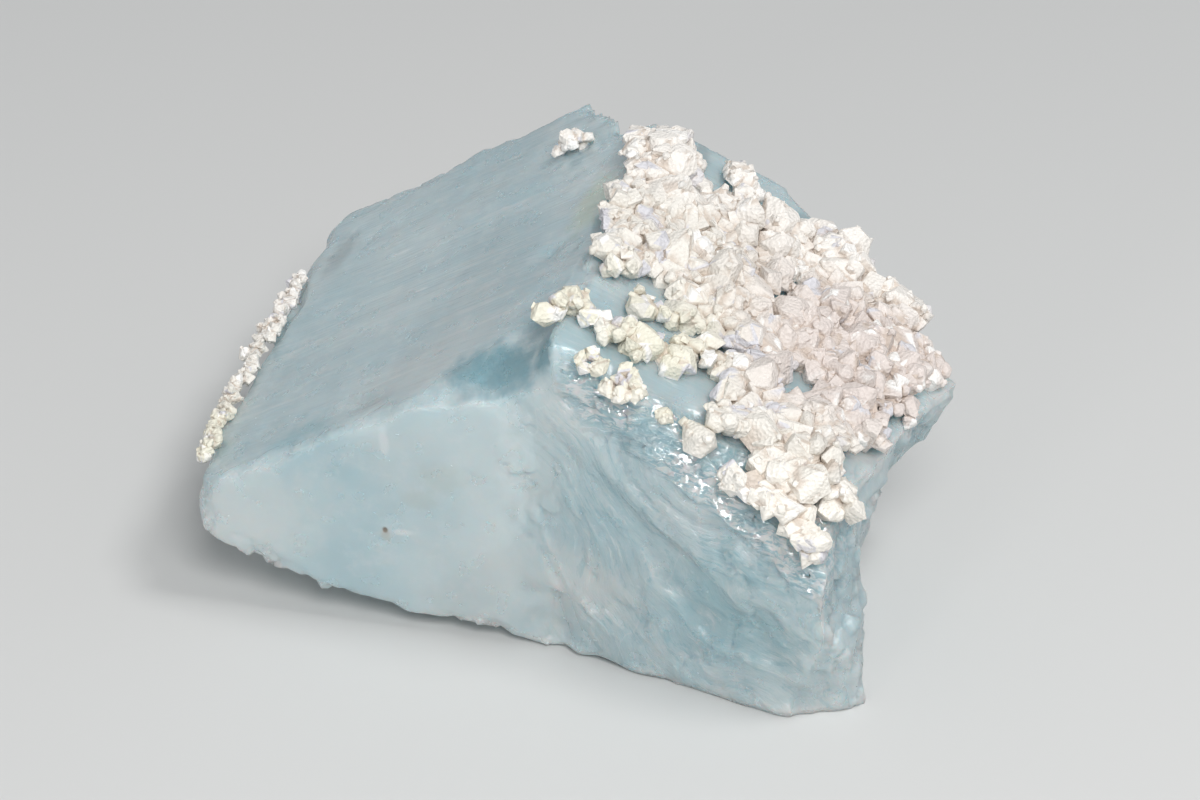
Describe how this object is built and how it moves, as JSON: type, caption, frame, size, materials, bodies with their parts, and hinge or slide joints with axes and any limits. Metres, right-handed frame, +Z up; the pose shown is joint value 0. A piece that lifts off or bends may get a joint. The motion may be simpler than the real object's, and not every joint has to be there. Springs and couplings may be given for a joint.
{
  "type": "topaz on albite specimen",
  "caption": "Cleaved fragment of pale blue topaz with two flat prism faces, a ribbed broken front and a crust of creamy albite crystals over its right top face.",
  "frame": {"origin": "middle of the bounding box's underside, level with the flat base that the specimen rests on", "axes": "+Z up from the base; +X to the right and +Y away, for a viewer who faces the sharp front corner where the two prism faces and the broken front meet"},
  "size_m": [0.0598, 0.06, 0.0319],
  "materials": {
    "topaz": "pale blue, translucent and milky, glossy on its flat faces and rough on its fractures",
    "albite": "creamy white to pinkish beige, satin to dull, slightly translucent"
  },
  "bodies": {
    "root": {"topaz_crystal": "topaz", "albite_crust": "albite", "albite_rim": "albite", "albite_grain_front": "albite", "albite_grain_middle": "albite", "albite_grain_small": "albite", "albite_grain_on_left_face": "albite"}
  },
  "joints": []
}
